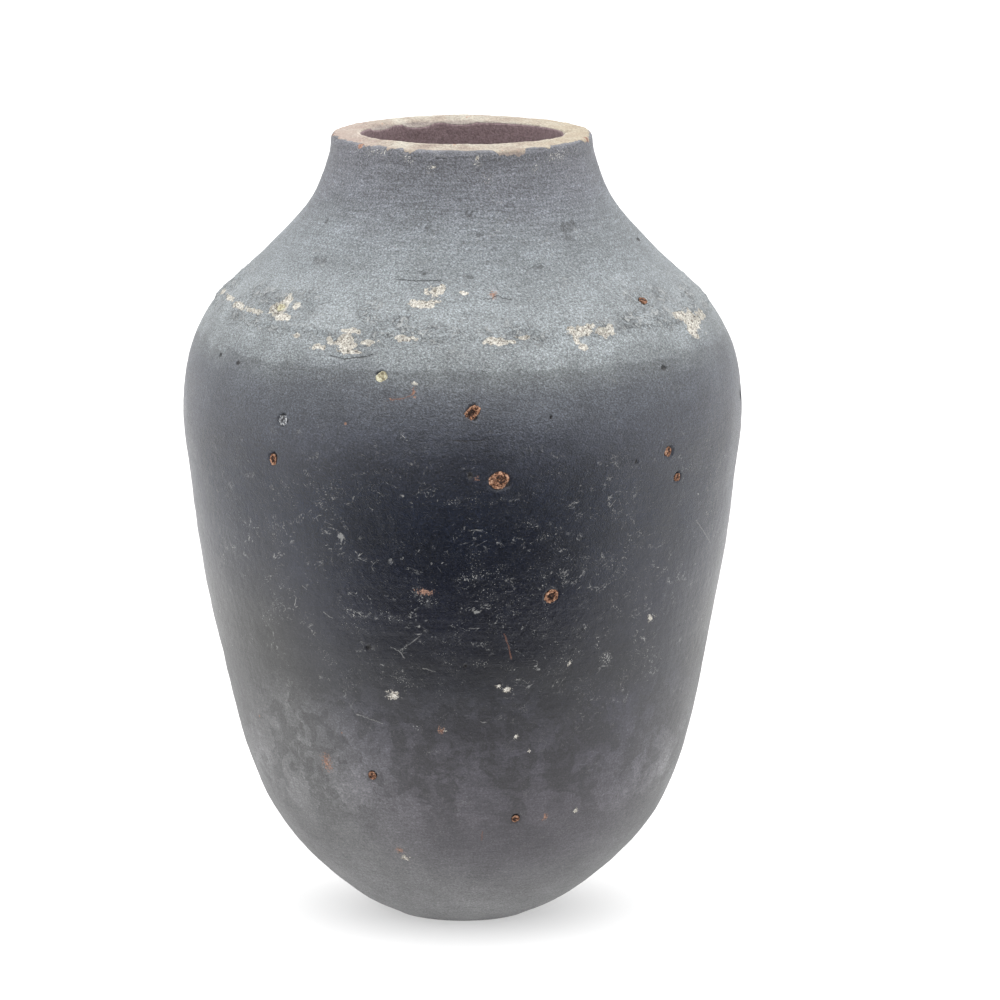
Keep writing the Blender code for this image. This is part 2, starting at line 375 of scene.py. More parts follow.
def smooth_curve(points, steps):
    """Centripetal Catmull-Rom curve through the points, with `steps` samples a span."""
    points = np.array(points)
    ends = np.vstack([2 * points[0] - points[1], points, 2 * points[-1] - points[-2]])
    curve = []
    for corners in zip(ends, ends[1:], ends[2:], ends[3:]):
        gaps = [math.sqrt(np.linalg.norm(end - start)) for start, end in zip(corners, corners[1:])]
        knots = np.concatenate([[0.0], np.cumsum(gaps)])
        for at in np.linspace(knots[1], knots[2], steps, endpoint=False):
            lines = [blend(corners[i], corners[i + 1], knots[i], knots[i + 1], at) for i in range(3)]
            arcs = [blend(lines[i], lines[i + 1], knots[i], knots[i + 2], at) for i in range(2)]
            curve.append(blend(arcs[0], arcs[1], knots[1], knots[2], at))
    curve.append(points[-1])
    return np.array(curve)


def smooth_step(low, high, value):
    """0 below low, 1 above high, and a smooth rise between."""
    share = np.clip((value - low) / (high - low), 0.0, 1.0)
    return share * share * (3 - 2 * share)


def noise(points, cell, seed):
    """Smooth random values from -1 to 1 on a lattice of the given cell size."""
    size = 64
    table = np.random.default_rng(seed).uniform(-1.0, 1.0, (size, size, size))
    spot = points / cell + 1000.0
    corner = np.floor(spot).astype(int)
    share = spot - corner
    share = share * share * (3 - 2 * share)
    total = np.zeros(points.shape[:-1])
    for step in itertools.product((0, 1), repeat=3):
        weight = np.ones_like(total)
        for axis in range(3):
            weight *= share[..., axis] if step[axis] else 1 - share[..., axis]
        x, y, z = (np.mod(corner[..., axis] + step[axis], size) for axis in range(3))
        total += weight * table[x, y, z]
    return total


def rough_noise(points, cell, seed, octaves=3):
    """Sum of ever finer noise, from about -1 to 1."""
    total = 0.0
    for octave in range(octaves):
        total = total + noise(points, cell / 2 ** octave, seed + octave) * 0.5 ** octave
    return total / 1.4


# ---------------------------------------------------------------- the grid's rows
OUTER = smooth_curve(OUTLINE, 40)
RUN = np.gradient(OUTER, axis=0)
RUN /= np.linalg.norm(RUN, axis=1)[:, None]
WALL_HEIGHTS, WALL_THICKNESSES = zip(*WALL)
THICKNESS = np.interp(OUTER[:, 1], WALL_HEIGHTS, WALL_THICKNESSES)
INNER = OUTER - np.column_stack([RUN[:, 1], -RUN[:, 0]]) * THICKNESS[:, None]


def even_points(line, spacing):
    """Points along a line of points, about `spacing` apart, both ends kept."""
    walked = np.concatenate([[0.0], np.cumsum(np.linalg.norm(np.diff(line, axis=0), axis=1))])
    stops = np.linspace(0.0, walked[-1], max(2, round(walked[-1] / spacing) + 1))
    return np.column_stack([np.interp(stops, walked, line[:, axis]) for axis in range(2)])


def stretch(curve, low, high, spacing):
    """The part of the outer or inner curve between two outside heights, from low to high."""
    index = np.interp(np.linspace(low, high, 400), OUTER[:, 1], np.arange(len(OUTER)))
    line = [np.interp(index, np.arange(len(curve)), curve[:, axis]) for axis in range(2)]
    return even_points(np.column_stack(line), spacing)


def lip_line():
    """The lip's outline: rounded outer edge, flat top, rounded inner edge."""
    quarter = np.linspace(0.0, math.pi / 2, 9)
    outer_centre = np.array([LIP_RADIUS - LIP_OUTER_ROUND, HEIGHT - LIP_OUTER_ROUND])
    inner_centre = np.array([MOUTH_RADIUS + LIP_INNER_ROUND, HEIGHT - LIP_INNER_ROUND])
    outer = outer_centre + LIP_OUTER_ROUND * np.column_stack([np.cos(quarter), np.sin(quarter)])
    inner = inner_centre + LIP_INNER_ROUND * np.column_stack([-np.sin(quarter), np.cos(quarter)])
    return even_points(np.vstack([outer, inner]), LIP_SPACING)


def joint_heights():
    """Outside height of each section's lower and upper edge, from the CAD nodes."""
    lows = [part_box(name)[0][2] for name, _, _ in SECTIONS]
    return list(zip(lows, lows[1:] + [HEIGHT]))


def make_rows():
    """All rows of the skin, from under the foot, up the outside and down the inside."""
    rows = [np.array([[0.0, 0.0]])]
    spans = {}

    def add(section, side, points):
        start = sum(len(row) for row in rows) - 1
        rows.append(points[1:])
        spans[section, side] = (start, start + len(points) - 1)

    joints = joint_heights()
    add("base_slab", "under", even_points(np.array([[0.0, 0.0], [FOOT_RADIUS, 0.0]]), 1.5 * MM))
    for (name, _, spacing), (low, high) in zip(SECTIONS, joints):
        top = HEIGHT - LIP_OUTER_ROUND if name == "rim_band" else high
        add(name, "outer", stretch(OUTER, low, top, spacing))
    add("rim_band", "lip", lip_line())
    for (name, _, _), (low, high) in reversed(list(zip(SECTIONS, joints))):
        top = HEIGHT - LIP_INNER_ROUND if name == "rim_band" else high + SCARF_RISE
        bottom = 0.0 if name == "base_slab" else low + SCARF_RISE
        spacing = 2 * MM if name == "rim_band" else INSIDE_SPACING
        add(name, "inner", stretch(INNER, bottom, top, spacing)[::-1])
    add("base_slab", "floor", even_points(np.array([INNER[0], [0.0, FLOOR_THICKNESS]]), 4 * MM))
    return np.vstack(rows), spans


ROWS, SPANS = make_rows()
WALKED = np.concatenate([[0.0], np.cumsum(np.linalg.norm(np.diff(ROWS, axis=0), axis=1))])
ANGLES = 2 * math.pi * np.arange(COLUMNS) / COLUMNS
OUTSIDE = slice(SPANS["base_slab", "outer"][0], SPANS["rim_band", "outer"][1] + 1)
LIP = slice(SPANS["rim_band", "lip"][0], SPANS["rim_band", "lip"][1] + 1)


def grid_of_points():
    """Undisturbed points of the grid, and their outward normals."""
    run = np.gradient(ROWS, axis=0)
    run /= np.linalg.norm(run, axis=1)[:, None]
    across, up = run[:, 1], -run[:, 0]
    around = np.column_stack([np.sin(ANGLES), -np.cos(ANGLES)])
    points = np.empty((len(ROWS), COLUMNS, 3))
    normals = np.empty_like(points)
    points[..., :2] = ROWS[:, None, :1] * around[None]
    points[..., 2] = ROWS[:, None, 1]
    normals[..., :2] = across[:, None, None] * around[None]
    normals[..., 2] = up[:, None]
    return points, normals


POINTS, NORMALS = grid_of_points()
PUSH = np.zeros(POINTS.shape[:2])       # how far each point moves out along its normal
LIFT = np.zeros(PUSH.shape)             # how far each point moves straight up
MASK_NAMES = ("lime", "rust", "dark", "bare", "crest", "inside", "rough", "scuff")
MASKS = {name: np.zeros(PUSH.shape) for name in MASK_NAMES}

# For each kind of thin line: distance to its middle in mm, signed by side, and the share of it there.
LINE_KINDS = ("crack", "vein", "scratch")
FAR_OFF = 9.0
for kind in LINE_KINDS:
    MASKS[kind + "_off"] = np.full(PUSH.shape, FAR_OFF)
    MASKS[kind + "_share"] = np.zeros(PUSH.shape)


# ---------------------------------------------------------------- marks on the grid
def walked_to(height):
    """Distance along the rows to an outside height."""
    return np.interp(height, ROWS[OUTSIDE, 1], WALKED[OUTSIDE])


def turn_from(azimuth):
    """Each column's turn from an azimuth, from -pi to pi."""
    return np.mod(ANGLES - math.radians(azimuth) + math.pi, 2 * math.pi) - math.pi


def window(azimuth, walked, reach):
    """Grid indices within reach of a spot, and each point's offsets round and along the wall."""
    rows = np.flatnonzero(np.abs(WALKED - walked) < reach)
    radius = max(ROWS[rows, 0].mean(), 5 * MM)
    turn = turn_from(azimuth)
    columns = np.flatnonzero(np.abs(turn) * radius < reach)
    across = ROWS[rows, None, 0] * turn[None, columns]
    along = np.broadcast_to((WALKED[rows] - walked)[:, None], across.shape)
    return np.ix_(rows, columns), across, along


def blot(azimuth, walked, half_width, half_height, ragged, seed):
    """A ragged spot: grid indices, and strength that is 1 in the middle and 0 at the edge."""
    spot, across, along = window(azimuth, walked, 1.8 * max(half_width, half_height) + 2 * MM)
    distance = np.hypot(across / half_width, along / half_height)
    cell = 0.7 * min(half_width, half_height) + 0.6 * MM
    return spot, 1 - distance + ragged * rough_noise(POINTS[spot], cell, seed)


def raise_mask(mask, spot, values):
    """Raise a mask to the values where they are higher."""
    MASKS[mask][spot] = np.maximum(MASKS[mask][spot], values)


def paint(mask, spot, strength, gain=1.2):
    """Raise a mask: 0.5 at the spot's edge, 1 well inside it."""
    raise_mask(mask, spot, np.clip(0.5 + gain * strength, 0.0, 1.0))


def in_metres(row):
    """A table row of an azimuth and millimetres, with the millimetres as metres."""
    return row[0], *(size * MM for size in row[1:])


def press_lime_patches():
    """Shallow flaked recesses with a steep ragged edge and a porous floor."""
    for index, row in enumerate(LIME_PATCHES):
        azimuth, height, half_width, half_height, depth = in_metres(row)
        spread = (LIME_SPREAD * half_width, LIME_SPREAD * half_height)
        spot, strength = blot(azimuth, walked_to(height), *spread, 0.75, 300 + index)
        floor = rough_noise(POINTS[spot], 1.6 * MM, 340 + index)
        inside = smooth_step(0.0, 0.25, strength)
        PUSH[spot] -= inside * depth * (0.5 + 0.7 * floor)
        PUSH[spot] += smooth_step(-0.5, -0.05, strength) * (1 - inside) * 0.35 * depth
        paint("lime", spot, strength)


def press_flecks():
    """Small flat flecks of lime and burnt iron."""
    for index, (*row, mask) in enumerate(FLECKS):
        azimuth, height, half_width, half_height = in_metres(row)
        spot, strength = blot(azimuth, walked_to(height), half_width, half_height, 0.8, 440 + index)
        paint(mask, spot, strength, 0.20)


def press_scuffs():
    """Slanted patches that the shader breaks up into pale dots."""
    for index, (*row, slope) in enumerate(SCUFFS):
        azimuth, height, half_length, half_width = in_metres(row)
        spot, across, along = window(azimuth, walked_to(height), 1.6 * half_length + 2 * MM)
        turn = math.radians(slope)
        lengthways = across * math.cos(turn) + along * math.sin(turn)
        sideways = along * math.cos(turn) - across * math.sin(turn)
        distance = np.hypot(lengthways / half_length, sideways / half_width)
        strength = 1 - distance + 0.5 * rough_noise(POINTS[spot], 2.4 * MM, 480 + index)
        raise_mask("scuff", spot, smooth_step(-0.3, 0.9, strength))


def press_pits():
    """Open holes left by burnt-out chaff and lost grains, painted dark inside as shade."""
    for index, row in enumerate(PITS):
        azimuth, height, half_width, half_height, depth = in_metres(row)
        spot, strength = blot(azimuth, walked_to(height), half_width, half_height, 0.3, 400 + index)
        collar = smooth_step(-0.9, -0.3, strength) * (1 - smooth_step(-0.3, 0.2, strength))
        PUSH[spot] -= depth * smooth_step(-0.1, 0.7, strength)
        PUSH[spot] += 0.12 * MM * collar
        # Painted shade inside the hole.
        paint("dark", spot, strength)


def press_stains():
    """Smoke stains, slightly rough and sunken."""
    for index, row in enumerate(STAINS):
        azimuth, height, half_width, half_height = in_metres(row)
        spot, strength = blot(azimuth, walked_to(height), half_width, half_height, 0.8, 500 + index)
        PUSH[spot] -= 0.12 * MM * smooth_step(0.0, 0.5, strength)
        raise_mask("dark", spot, 0.5 * smooth_step(-0.3, 0.6, strength))


def press_line(kind, points):
    """One thin line: stores each point's signed distance to it, and presses a crack's groove."""
    middle_azimuth, middle_height = points[len(points) // 2]
    middle = walked_to(middle_height * MM)
    spans = [abs(azimuth - middle_azimuth) for azimuth, _ in points]
    spot, across, along = window(middle_azimuth, middle, (3.0 * max(spans) + 12) * MM)
    radius = ROWS[spot[0][:, 0], 0].mean()
    stops = [
        np.array([math.radians(azimuth - middle_azimuth) * radius, walked_to(height * MM) - middle])
        for azimuth, height in points
    ]
    lengths = [np.linalg.norm(end - start) for start, end in zip(stops, stops[1:])]
    nearest = np.full(across.shape, FAR_OFF * MM)
    off = nearest.copy()
    to_end = np.zeros(across.shape)
    walked = 0.0
    for start, end, length in zip(stops, stops[1:], lengths):
        way = (end - start) / length
        reach = (across - start[0]) * way[0] + (along - start[1]) * way[1]
        side = (along - start[1]) * way[0] - (across - start[0]) * way[1]
        away = np.hypot(side, reach - np.clip(reach, 0.0, length))
        closer = away < nearest
        nearest = np.where(closer, away, nearest)
        off = np.where(closer, side, off)
        to_end = np.where(closer, np.minimum(walked + reach, sum(lengths) - walked - reach), to_end)
        walked += length
    share = smooth_step(-0.2 * MM, 1.2 * MM, to_end) * smooth_step(3.0 * MM, 2.0 * MM, nearest)
    closer = nearest < np.abs(MASKS[kind + "_off"][spot]) * MM
    MASKS[kind + "_off"][spot] = np.where(closer, off / MM, MASKS[kind + "_off"][spot])
    MASKS[kind + "_share"][spot] = np.where(closer, share, MASKS[kind + "_share"][spot])
    if kind == "crack":
        PUSH[spot] -= 0.15 * MM * share * np.exp(-(nearest / (0.6 * MM)) ** 2)


def press_lines():
    """Every crack, vein and scratch."""
    for kind, points in LINES:
        press_line(kind, points)


def press_grain_beds(grains):
    """A broken-edged pit round each mineral grain, painted dark as shade."""
    for index, (azimuth, height, half_width, half_height) in enumerate(grains):
        reach = (half_width + BED_MARGIN, half_height + BED_MARGIN)
        spot, strength = blot(azimuth, walked_to(height), *reach, 0.30, 700 + index)
        PUSH[spot] -= BED_DEPTH * smooth_step(-0.12, 0.12, strength)
        # Painted shade in the pit round the grain.
        raise_mask("dark", spot, 0.6 * smooth_step(-0.12, 0.12, strength))


def press_seam():
    """The luting seam: a broken step with crumbs of clay above it."""
    rows = np.arange(OUTSIDE.start, OUTSIDE.stop)
    points = POINTS[rows]
    turn = np.column_stack([np.cos(ANGLES), np.sin(ANGLES), 0 * ANGLES])
    wander = rough_noise(turn * 30 * MM, 9 * MM, 21) * 1.6 * MM
    broken = smooth_step(-0.25, 0.35, rough_noise(turn * 60 * MM, 16 * MM, 23))
    above = (WALKED[rows] - walked_to(SEAM_HEIGHT))[:, None] - wander[None]
    step = smooth_step(-0.8 * MM, 0.8 * MM, above) * (1 - smooth_step(1.0 * MM, 11 * MM, above))
    groove = np.exp(-(above / (0.9 * MM)) ** 2)
    band = smooth_step(-5 * MM, 1 * MM, above) * (1 - smooth_step(12 * MM, 28 * MM, above))
    near_seam = 0.35 * np.exp(-np.abs(above) / (5 * MM))
    patchy = smooth_step(-0.35, 0.35, rough_noise(points, 12 * MM, 31) + near_seam)
    crumbs = np.maximum(rough_noise(points, 2.0 * MM, 41), -0.4) * 0.60 * MM
    PUSH[rows] += broken[None] * (0.35 * MM * step - 0.25 * MM * groove)
    PUSH[rows] += band * patchy * crumbs
    MASKS["rough"][rows] = band * patchy


def press_making_marks():
    """Dents, throwing rings and grain over the whole skin."""
    flat = POINTS * np.array([0.10, 0.10, 1.0])
    dents = 0.38 * MM * noise(POINTS, 34 * MM, 1) + 0.16 * MM * noise(POINTS, 13 * MM, 2)
    rings = 0.10 * MM * noise(flat, 6 * MM, 3) + 0.05 * MM * noise(flat, 2.4 * MM, 4)
    grain = 0.06 * MM * noise(POINTS, 1.7 * MM, 5)
    inside_rings = 0.5 * MM * noise(flat, 9 * MM, 6)
    PUSH[:] += dents + rings + grain
    PUSH[LIP.stop:] += inside_rings[LIP.stop:]


def press_lip():
    """Wear of the lip: worn down outwards, uneven, with scallops out of the inner edge."""
    rows = np.arange(SPANS["rim_band", "outer"][0], SPANS["rim_band", "inner"][1] + 1)
    points = POINTS[rows]
    past_edge = (WALKED[rows] - WALKED[LIP.start])[:, None]
    lip_length = WALKED[LIP.stop - 1] - WALKED[LIP.start]
    past_inner = past_edge - lip_length
    outer_edge = np.exp(-((past_edge - 1.5 * MM) / (2.2 * MM)) ** 2)
    inner_edge = np.exp(-((past_inner + 1.2 * MM) / (1.6 * MM)) ** 2)
    on_lip = smooth_step(-1 * MM, 2 * MM, past_edge)
    crest = smooth_step(-8 * MM, -1.5 * MM, past_inner) * (1 - smooth_step(0.0, 5 * MM, past_inner))
    crest_height = LIP_CREST[0] + LIP_CREST[1] * np.cos(ANGLES)
    LIFT[rows] += crest * crest_height[None] * MM
    PUSH[rows] -= outer_edge * (0.10 + 0.45 * rough_noise(points, 5 * MM, 51)) * 0.6 * MM
    PUSH[rows] -= inner_edge * (0.10 + 0.5 * rough_noise(points, 4 * MM, 55)) * 0.5 * MM
    PUSH[rows] += on_lip * 0.10 * MM * rough_noise(points, 1.6 * MM, 59)

    level = np.column_stack([points[0, :, :2], 0 * ANGLES])
    front = smooth_step(0.1, 0.8, np.cos(ANGLES))
    ragged = 0.9 * rough_noise(level, 5 * MM, 61) + 0.9 * noise(level, 1.1 * MM, 62)
    worn = (LIP_WEAR[0] + LIP_WEAR[1] * front + ragged) * MM
    for azimuth, half_width, extra in LIP_WORN:
        away = np.abs(turn_from(azimuth)) * LIP_RADIUS / (half_width * MM)
        worn = worn + extra * MM * (1 - smooth_step(0.4, 1.2, away))
    bare = (past_edge + worn[None] + 0.6 * MM * rough_noise(points, 1.8 * MM, 63)) / (1.4 * MM)
    ends = 1 - smooth_step(-1.4 * MM, -0.2 * MM, past_inner)
    MASKS["bare"][rows] = np.clip(0.5 + bare, 0.0, 1.0) * ends
    PUSH[rows] -= 0.22 * MM * smooth_step(0.3, 0.9, MASKS["bare"][rows]) * (1 - on_lip)
    # The band along the inner crest where the shader paints a highlight.
    MASKS["crest"][rows] = np.exp(-((past_inner + 1.3 * MM) / (0.8 * MM)) ** 2) * np.ones(COLUMNS)

    spill = np.exp(-((past_edge + 0.5 * MM) / (2.6 * MM)) ** 2)
    spill = spill * smooth_step(-0.5, 0.6, rough_noise(points, 6 * MM, 64))
    raise_mask("scuff", rows, 0.6 * spill)

    near_inner = smooth_step(-6.5 * MM, -1.0 * MM, past_inner)
    near_inner = near_inner * (1 - smooth_step(1 * MM, 7 * MM, past_inner))
    for azimuth, half_width, depth in LIP_CHIPS:
        away = np.abs(turn_from(azimuth)) * LIP_RADIUS / (half_width * MM)
        bite = np.clip(1 - away ** 2, 0.0, 1.0)[None]
        LIFT[rows] -= depth * MM * near_inner * bite ** 0.7
    for index, (azimuth, radius) in enumerate(LIP_BLUSHES):
        middle = WALKED[LIP.start] + 1.6 * MM
        spot, strength = blot(azimuth, middle, radius * MM, radius * MM, 0.6, 820 + index)
        paint("rust", spot, strength, 0.7)


def settled_grid():
    """The grid's points, pushed, lifted, leaned and made slightly oval."""
    points = POINTS + NORMALS * PUSH[..., None]
    points[..., 2] += LIFT
    lean_heights, leans = zip(*LEAN)
    points[..., 0] += np.interp(points[..., 2], lean_heights, leans)
    oval = OVAL * np.sin(math.pi * np.clip(points[..., 2] / HEIGHT, 0, 1))
    swing = np.cos(2 * ANGLES - 0.8)[None] * oval
    points[..., :2] += NORMALS[..., :2] * swing[..., None]
    foot = SPANS["base_slab", "under"][1] + 1
    points[:foot, :, 2] = np.maximum(points[:foot, :, 2] * 0.3, 0.0)
    points[..., 2] = np.maximum(points[..., 2], 0.0)
    return points


def normals_of(points):
    """Smooth outward normals of the whole grid."""
    along = np.gradient(points, axis=0)
    around = np.roll(points, -1, axis=1) - np.roll(points, 1, axis=1)
    normals = np.cross(around, along)
    normals[0] = (0.0, 0.0, -1.0)
    normals[-1] = (0.0, 0.0, 1.0)
    normals /= np.maximum(np.linalg.norm(normals, axis=2), 1e-12)[..., None]
    return normals


# ---------------------------------------------------------------- section meshes
def section_rows(name):
    """Row numbers of a section's closed loop, up the outside and back down the inside."""
    first = SPANS.get((name, "under"), SPANS[name, "outer"])[0]
    top = SPANS.get((name, "lip"), SPANS[name, "outer"])[1]
    inner = top + 1 if name == "rim_band" else SPANS[name, "inner"][0]
    last = SPANS.get((name, "floor"), SPANS[name, "inner"])[1]
    return [*range(first, top + 1), *range(inner, last + 1)]


def store(mesh, name, values):
    """Keep one number a point under a name that the material reads."""
    attribute = mesh.attributes.new(name, "FLOAT", "POINT")
    attribute.data.foreach_set("value", values.astype(np.float32))


def stand_for(node, piece):
    """Put a piece in the scene in place of its CAD node."""
    bpy.context.scene.collection.objects.link(piece)
    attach(piece, "root")
    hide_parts(node)


def ring_faces(first, second):
    """Quads between two neighbouring rings of points, given each ring's first point number."""
    here = np.arange(COLUMNS)
    there = np.roll(here, -1)
    return np.column_stack([first + here, first + there, second + there, second + here])


def make_section(name, points, normals, material):
    """A closed mesh of one section, with the smooth normals of the whole skin."""
    rows = section_rows(name)
    poles = name == "base_slab"
    rings = rows[1:-1] if poles else rows
    vertices = points[rings].reshape(-1, 3)
    vertex_normals = normals[rings].reshape(-1, 3)
    quads = [ring_faces(i * COLUMNS, (i + 1) * COLUMNS) for i in range(len(rings) - 1)]
    if not poles:
        quads.append(ring_faces((len(rings) - 1) * COLUMNS, 0))
    faces = [tuple(face) for face in np.vstack(quads).tolist()]
    if poles:
        count = len(vertices)
        last = count - COLUMNS
        vertices = np.vstack([vertices, points[rows[0], 0], points[rows[-1], 0]])
        vertex_normals = np.vstack([vertex_normals, [0, 0, -1], [0, 0, 1]])
        for here in range(COLUMNS):
            there = (here + 1) % COLUMNS
            faces.append((here, count, there))
            faces.append((last + here, last + there, count + 1))
    mesh = bpy.data.meshes.new(name + "_skin")
    mesh.from_pydata(vertices.tolist(), [], faces)
    for mask, values in MASKS.items():
        flat = values[rings].reshape(-1)
        flat = np.concatenate([flat, values[[rows[0], rows[-1]], 0]]) if poles else flat
        store(mesh, mask, flat)
    mesh.shade_smooth()
    corner_vertices = np.empty(len(mesh.loops), dtype=np.int32)
    mesh.loops.foreach_get("vertex_index", corner_vertices)
    mesh.normals_split_custom_set(vertex_normals[corner_vertices].tolist())
    mesh.materials.append(material)
    stand_for(name, bpy.data.objects.new(name + "_skin", mesh))


# ---------------------------------------------------------------- material nodes
class Tree:
    """The nodes of a material or a world, with short calls for the kinds used here."""

    def __init__(self, owner, shader="Principled BSDF"):
        owner.use_nodes = True
        self.owner = owner
        self.nodes = owner.node_tree.nodes
        self.links = owner.node_tree.links
        self.shader = self.nodes[shader]

    def set(self, **sockets):
        """Set or feed the shader's sockets, given with underscores for spaces."""
        for name, value in sockets.items():
            self.feed(self.shader.inputs[name.replace("_", " ")], value)

    def feed(self, socket, value):
        """Link a socket's value, or set it."""
        if isinstance(value, bpy.types.NodeSocket):
            self.links.new(value, socket)
        else:
            socket.default_value = value

    def math(self, operation, first, second=0.0, third=0.0):
        node = self.nodes.new("ShaderNodeMath")
        node.operation = operation
        for socket, value in zip(node.inputs, (first, second, third)):
            self.feed(socket, value)
        return node.outputs[0]

    def product(self, first, second):
        return self.math("MULTIPLY", first, second)

    def scaled(self, value, gain, base):
        """value * gain + base."""
        return self.math("MULTIPLY_ADD", value, gain, base)

    def centred(self, value):
        """A noise's 0 to 1 turned into -0.5 to 0.5."""
        return self.math("SUBTRACT", value, 0.5)

    def size_of(self, value):
        return self.math("ABSOLUTE", value)

    def highest(self, first, second):
        return self.math("MAXIMUM", first, second)

    def apart(self, vector):
        """The X, Y and Z of a vector."""
        node = self.nodes.new("ShaderNodeSeparateXYZ")
        self.links.new(vector, node.inputs[0])
        return node.outputs

    def place(self, scale=(1.0, 1.0, 1.0), slope=0.0):
        """Place on the jar in millimetres, stretched by scale, with height sheared along X."""
        x, y, z = self.apart(self.nodes.new("ShaderNodeTexCoord").outputs["Object"])
        if slope:
            z = self.scaled(x, slope, z)
        together = self.nodes.new("ShaderNodeCombineXYZ")
        for socket, axis, stretch_by in zip(together.inputs, (x, y, z), scale):
            self.links.new(self.product(axis, stretch_by / MM), socket)
        return together.outputs[0]

    def noise(self, place, size, detail=2.0, roughness=0.5, warp=0.0):
        """Noise from 0 to 1 whose lumps are about `size` millimetres."""
        node = self.nodes.new("ShaderNodeTexNoise")
        self.links.new(place, node.inputs["Vector"])
        node.inputs["Scale"].default_value = 1.0 / size
        node.inputs["Detail"].default_value = detail
        node.inputs["Roughness"].default_value = roughness
        node.inputs["Distortion"].default_value = warp
        return node.outputs[0]

    def cells(self, place, size):
        """Distance from the middle of the nearest of scattered cells, and the cell's own colour."""
        node = self.nodes.new("ShaderNodeTexVoronoi")
        self.links.new(place, node.inputs["Vector"])
        node.inputs["Scale"].default_value = 1.0 / size
        return node.outputs["Distance"], node.outputs["Color"]

    def step(self, low, high, value, to_low=0.0, to_high=1.0):
        """Smooth rise from to_low to to_high as value goes from low to high."""
        node = self.nodes.new("ShaderNodeMapRange")
        node.interpolation_type = "SMOOTHSTEP"
        for socket, entry in zip(node.inputs, (value, low, high, to_low, to_high)):
            self.feed(socket, entry)
        return node.outputs[0]

    def ramp(self, value, stops, scalar=False):
        """Colour, or a plain number, read from a ramp of (place, colour) stops."""
        node = self.nodes.new("ShaderNodeValToRGB")
        self.feed(node.inputs[0], value)
        elements = node.color_ramp.elements
        while len(elements) < len(stops):
            elements.new(0.5)
        for element, (at, color) in zip(elements, stops):
            element.position = at
            element.color = (color, color, color, 1.0) if scalar else (*color, 1.0)
        return node.outputs[0]

    def mix(self, share, first, second, kind="MIX"):
        """Mix of two colours, or their product."""
        node = self.nodes.new("ShaderNodeMix")
        node.data_type = "RGBA"
        node.blend_type = kind
        self.feed(node.inputs[0], share)
        for socket, value in ((node.inputs[6], first), (node.inputs[7], second)):
            self.feed(socket, (*value, 1.0) if isinstance(value, tuple) else value)
        return node.outputs[2]

    def times(self, color, factor):
        """A colour times a number or another colour."""
        return self.mix(1.0, color, factor, "MULTIPLY")

    def shaded(self, color, value, shades):
        """A colour times a brightness read from (value, brightness) stops."""
        return self.times(color, self.ramp(value, shades, True))

    def painted(self, color, paint, share, strength):
        """A colour partly covered with another."""
        return self.mix(self.product(share, strength), color, paint)

    def blend(self, share, first, second):
        """Mix of two numbers."""
        node = self.nodes.new("ShaderNodeMix")
        self.feed(node.inputs[0], share)
        self.feed(node.inputs[2], first)
        self.feed(node.inputs[3], second)
        return node.outputs[0]

    def mask(self, name):
        """A number kept on the mesh's points."""
        node = self.nodes.new("ShaderNodeAttribute")
        node.attribute_name = name
        return node.outputs["Fac"]

    def ragged(self, mask, fray, width=0.06, reach=0.6):
        """A mask's 0.5 line frayed by noise and made crisp."""
        frayed = self.scaled(self.centred(fray), reach, mask)
        return self.step(0.5 - width, 0.5 + width, frayed)

    def bump(self, height):
        """Relief from a height in millimetres."""
        node = self.nodes.new("ShaderNodeBump")
        node.inputs["Strength"].default_value = 1.0
        node.inputs["Distance"].default_value = MM
        self.links.new(height, node.inputs["Height"])
        self.links.new(node.outputs[0], self.shader.inputs["Normal"])

    def total(self, *values):
        """Sum of several numbers."""
        result = values[0]
        for value in values[1:]:
            result = self.math("ADD", result, value)
        return result


# Colour of the fired clay against height, from the foot to the lip (heights in mm).
CLAY_COLORS = (
    (0, (0.116, 0.113, 0.114)),
    (14, (0.092, 0.088, 0.091)),
    (28, (0.070, 0.066, 0.076)),
    (44, (0.058, 0.053, 0.064)),
    (60, (0.050, 0.046, 0.055)),
    (80, (0.039, 0.037, 0.045)),
    (96, (0.030, 0.029, 0.037)),
    (120, (0.0145, 0.0155, 0.0225)),
    (150, (0.0086, 0.0108, 0.0240)),
    (184, (0.0050, 0.0088, 0.0225)),
    (201, (0.0068, 0.0114, 0.0270)),
    (214, (0.022, 0.026, 0.042)),
    (228, (0.050, 0.056, 0.076)),
    (244, (0.088, 0.097, 0.116)),
    (256, (0.151, 0.166, 0.174)),
    (266, (0.194, 0.213, 0.222)),
    (282, (0.156, 0.173, 0.183)),
    (300, (0.133, 0.148, 0.160)),
    (318, (0.112, 0.119, 0.136)),
    (338, (0.104, 0.106, 0.121)),
)
CLAY_ROUGHNESS = (
    (0, 0.62),
    (70, 0.56),
    (120, 0.42),
    (150, 0.36),
    (225, 0.36),
    (256, 0.50),
    (338, 0.58),
)
# Painted sheen: below the belly the sides and back are painted paler and greyer than the front.
DARK_FRONT_AZIMUTH = math.radians(14)         # the side left darkest; the sides away from it get the painted sheen
SMOKE_LINE = 254                         # height in mm where the smoked belly meets the shoulder
SHEEN_PAINTED_SIDES = 2.1                         # how much paler the painted sheen makes the sides
SHEEN_SIDE_TINT = (1.0, 1.0, 1.02)
HAIRLINES = ((9.0, 0.3), (12.0, -0.6))   # winding size in mm and slope
SHEEN_LEVEL = 0.6                        # how glossy the smoothed clay is
CHALK_ROUGHNESS = 0.88                   # of lime, rust, the bare lip and the inside

